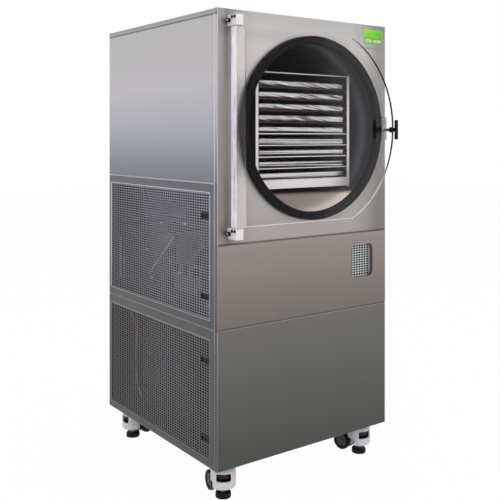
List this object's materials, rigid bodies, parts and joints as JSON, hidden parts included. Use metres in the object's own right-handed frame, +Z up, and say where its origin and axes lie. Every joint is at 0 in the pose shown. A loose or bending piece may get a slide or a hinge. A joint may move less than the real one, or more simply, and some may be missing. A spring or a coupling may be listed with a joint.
{
  "type": "freeze dryer",
  "caption": "Upright steel freeze dryer on levelling casters, with a round chamber of stacked trays behind a clear hinged door and side vents.",
  "frame": {"origin": "middle of the footprint on the floor, under the foot pads", "axes": "+X to the right seen from the front, +Y to the back, +Z up"},
  "size_m": [0.718, 0.8184, 1.522],
  "materials": {
    "stainless_panel": "brushed, satin",
    "vent_sheet": "perforated sheet, satin",
    "painted_frame": "grey paint",
    "chamber_steel": "satin inside",
    "polished_tray": "polished sheet",
    "rack_aluminium": "clear finish",
    "hinge_aluminium": "machined",
    "clear_acrylic": "clear, polished edges",
    "gasket_rubber": "matt black",
    "black_plastic": "satin black",
    "screen_green": "lit screen behind glass",
    "insulation_foam": "closed-cell foam",
    "caster_white": "moulded shell",
    "wheel_black": "hard rubber",
    "thumbwheel_red": "moulded",
    "foot_rubber": "matt",
    "machine_black": "black paint"
  },
  "bodies": {
    "cabinet": {"frame": "painted_frame", "base_pan": "painted_frame", "top_cover": "stainless_panel", "left_upper_panel": "stainless_panel", "left_middle_panel": "stainless_panel", "left_lower_panel": "stainless_panel", "right_panel": "stainless_panel", "back_panel": "stainless_panel", "front_chamber_panel": "stainless_panel", "front_middle_panel": "stainless_panel", "front_lower_panel": "stainless_panel", "window_screen": "vent_sheet", "display_panel": "stainless_panel", "touchscreen": "screen_green", "vacuum_chamber": "chamber_steel", "chamber_insulation": "insulation_foam", "door_gasket": "gasket_rubber", "tray_rack": "rack_aluminium", "tray_1": "polished_tray", "tray_2": "polished_tray", "tray_3": "polished_tray", "tray_4": "polished_tray", "tray_5": "polished_tray", "tray_6": "polished_tray", "tray_7": "polished_tray", "tray_8": "polished_tray", "tray_9": "polished_tray", "hinge_block_top": "hinge_aluminium", "hinge_block_bottom": "hinge_aluminium", "strike_bracket": "stainless_panel", "compressor": "machine_black", "condenser": "painted_frame", "vacuum_pump": "machine_black"},
    "door": {"door_plate": "clear_acrylic", "door_hinge_strip": "clear_acrylic"},
    "door_latch": {"door_handle": "black_plastic", "latch_cam": "hinge_aluminium"},
    "upper_vent": {"upper_vent_panel": "vent_sheet"},
    "lower_vent": {"lower_vent_panel": "vent_sheet"},
    "upper_top_latch": {"upper_vent_latch_top": "black_plastic"},
    "upper_bottom_latch": {"upper_vent_latch_bottom": "black_plastic"},
    "lower_top_latch": {"lower_vent_latch_top": "black_plastic"},
    "lower_bottom_latch": {"lower_vent_latch_bottom": "black_plastic"},
    "fan_rotor": {"fan": "black_plastic"},
    "front_left_swivel": {"front_left_caster_body": "caster_white"},
    "front_left_wheelset": {"front_left_caster_wheels": "wheel_black"},
    "front_left_levelling_wheel": {"front_left_thumbwheel": "thumbwheel_red"},
    "front_left_levelling_foot": {"front_left_foot": "foot_rubber"},
    "front_right_swivel": {"front_right_caster_body": "caster_white"},
    "front_right_wheelset": {"front_right_caster_wheels": "wheel_black"},
    "front_right_levelling_wheel": {"front_right_thumbwheel": "thumbwheel_red"},
    "front_right_levelling_foot": {"front_right_foot": "foot_rubber"},
    "back_left_swivel": {"back_left_caster_body": "caster_white"},
    "back_left_wheelset": {"back_left_caster_wheels": "wheel_black"},
    "back_left_levelling_wheel": {"back_left_thumbwheel": "thumbwheel_red"},
    "back_left_levelling_foot": {"back_left_foot": "foot_rubber"},
    "back_right_swivel": {"back_right_caster_body": "caster_white"},
    "back_right_wheelset": {"back_right_caster_wheels": "wheel_black"},
    "back_right_levelling_wheel": {"back_right_thumbwheel": "thumbwheel_red"},
    "back_right_levelling_foot": {"back_right_foot": "foot_rubber"}
  },
  "joints": [
    {"name": "door_hinge", "type": "hinge", "parent": "cabinet", "child": "door", "pos_m": [-0.31, -0.36425, 1.159], "axis": [0, 0, -1], "range_deg": [0, 115]},
    {"name": "handle_turn", "type": "hinge", "parent": "door", "child": "door_latch", "pos_m": [0.339, -0.38675, 1.154], "axis": [0, 1, 0], "range_deg": [0, 90]},
    {"name": "upper_vent_hinge", "type": "hinge", "parent": "cabinet", "child": "upper_vent", "pos_m": [-0.35375, 0.38625, 0.7615], "axis": [0, 0, -1], "range_deg": [0, 100]},
    {"name": "lower_vent_hinge", "type": "hinge", "parent": "cabinet", "child": "lower_vent", "pos_m": [-0.35375, 0.38625, 0.322], "axis": [0, 0, -1], "range_deg": [0, 100]},
    {"name": "upper_top_latch_slide", "type": "slide", "parent": "upper_vent", "child": "upper_top_latch", "axis": [0, 1, 0], "range_m": [0, 0.008], "stiffness_N_per_m": 200},
    {"name": "upper_bottom_latch_slide", "type": "slide", "parent": "upper_vent", "child": "upper_bottom_latch", "axis": [0, 1, 0], "range_m": [0, 0.008], "stiffness_N_per_m": 200},
    {"name": "lower_top_latch_slide", "type": "slide", "parent": "lower_vent", "child": "lower_top_latch", "axis": [0, 1, 0], "range_m": [0, 0.008], "stiffness_N_per_m": 200},
    {"name": "lower_bottom_latch_slide", "type": "slide", "parent": "lower_vent", "child": "lower_bottom_latch", "axis": [0, 1, 0], "range_m": [0, 0.008], "stiffness_N_per_m": 200},
    {"name": "fan_spin", "type": "hinge", "parent": "cabinet", "child": "fan_rotor", "pos_m": [-0.236, 0.04825, 0.3053], "axis": [1, 0, 0], "continuous": true},
    {"name": "front_left_caster_turn", "type": "hinge", "parent": "cabinet", "child": "front_left_swivel", "pos_m": [-0.293, -0.26575, 0.102], "axis": [0, 0, 1], "continuous": true},
    {"name": "front_left_wheel_roll", "type": "hinge", "parent": "front_left_swivel", "child": "front_left_wheelset", "pos_m": [-0.28053, -0.20706, 0.0315], "axis": [0.9781, -0.2079, 0], "continuous": true},
    {"name": "front_left_levelling_turn", "type": "hinge", "parent": "front_left_swivel", "child": "front_left_levelling_wheel", "pos_m": [-0.293, -0.26575, 0.073], "axis": [0, 0, 1], "range_deg": [0, 1790]},
    {"name": "front_left_foot_lift", "type": "slide", "parent": "front_left_swivel", "child": "front_left_levelling_foot", "axis": [0, 0, 1], "range_m": [0, 0.01]},
    {"name": "front_right_caster_turn", "type": "hinge", "parent": "cabinet", "child": "front_right_swivel", "pos_m": [0.293, -0.26575, 0.102], "axis": [0, 0, 1], "continuous": true},
    {"name": "front_right_wheel_roll", "type": "hinge", "parent": "front_right_swivel", "child": "front_right_wheelset", "pos_m": [0.28053, -0.20706, 0.0315], "axis": [0.9781, 0.2079, 0], "continuous": true},
    {"name": "front_right_levelling_turn", "type": "hinge", "parent": "front_right_swivel", "child": "front_right_levelling_wheel", "pos_m": [0.293, -0.26575, 0.073], "axis": [0, 0, 1], "range_deg": [0, 1790]},
    {"name": "front_right_foot_lift", "type": "slide", "parent": "front_right_swivel", "child": "front_right_levelling_foot", "axis": [0, 0, 1], "range_m": [0, 0.01]},
    {"name": "back_left_caster_turn", "type": "hinge", "parent": "cabinet", "child": "back_left_swivel", "pos_m": [-0.293, 0.34325, 0.102], "axis": [0, 0, 1], "continuous": true},
    {"name": "back_left_wheel_roll", "type": "hinge", "parent": "back_left_swivel", "child": "back_left_wheelset", "pos_m": [-0.23737, 0.36573, 0.0315], "axis": [0.3746, -0.9272, 0], "continuous": true},
    {"name": "back_left_levelling_turn", "type": "hinge", "parent": "back_left_swivel", "child": "back_left_levelling_wheel", "pos_m": [-0.293, 0.34325, 0.073], "axis": [0, 0, 1], "range_deg": [0, 1790]},
    {"name": "back_left_foot_lift", "type": "slide", "parent": "back_left_swivel", "child": "back_left_levelling_foot", "axis": [0, 0, 1], "range_m": [0, 0.01]},
    {"name": "back_right_caster_turn", "type": "hinge", "parent": "cabinet", "child": "back_right_swivel", "pos_m": [0.293, 0.34325, 0.102], "axis": [0, 0, 1], "continuous": true},
    {"name": "back_right_wheel_roll", "type": "hinge", "parent": "back_right_swivel", "child": "back_right_wheelset", "pos_m": [0.263, 0.29129, 0.0315], "axis": [-0.866, 0.5, 0], "continuous": true},
    {"name": "back_right_levelling_turn", "type": "hinge", "parent": "back_right_swivel", "child": "back_right_levelling_wheel", "pos_m": [0.293, 0.34325, 0.073], "axis": [0, 0, 1], "range_deg": [0, 1790]},
    {"name": "back_right_foot_lift", "type": "slide", "parent": "back_right_swivel", "child": "back_right_levelling_foot", "axis": [0, 0, 1], "range_m": [0, 0.01]}
  ],
  "couplings": [
    {"joint": "front_left_foot_lift", "follows": "front_left_levelling_turn", "m_per_rad": 0.00031831},
    {"joint": "front_right_foot_lift", "follows": "front_right_levelling_turn", "m_per_rad": 0.00031831},
    {"joint": "back_left_foot_lift", "follows": "back_left_levelling_turn", "m_per_rad": 0.00031831},
    {"joint": "back_right_foot_lift", "follows": "back_right_levelling_turn", "m_per_rad": 0.00031831}
  ]
}
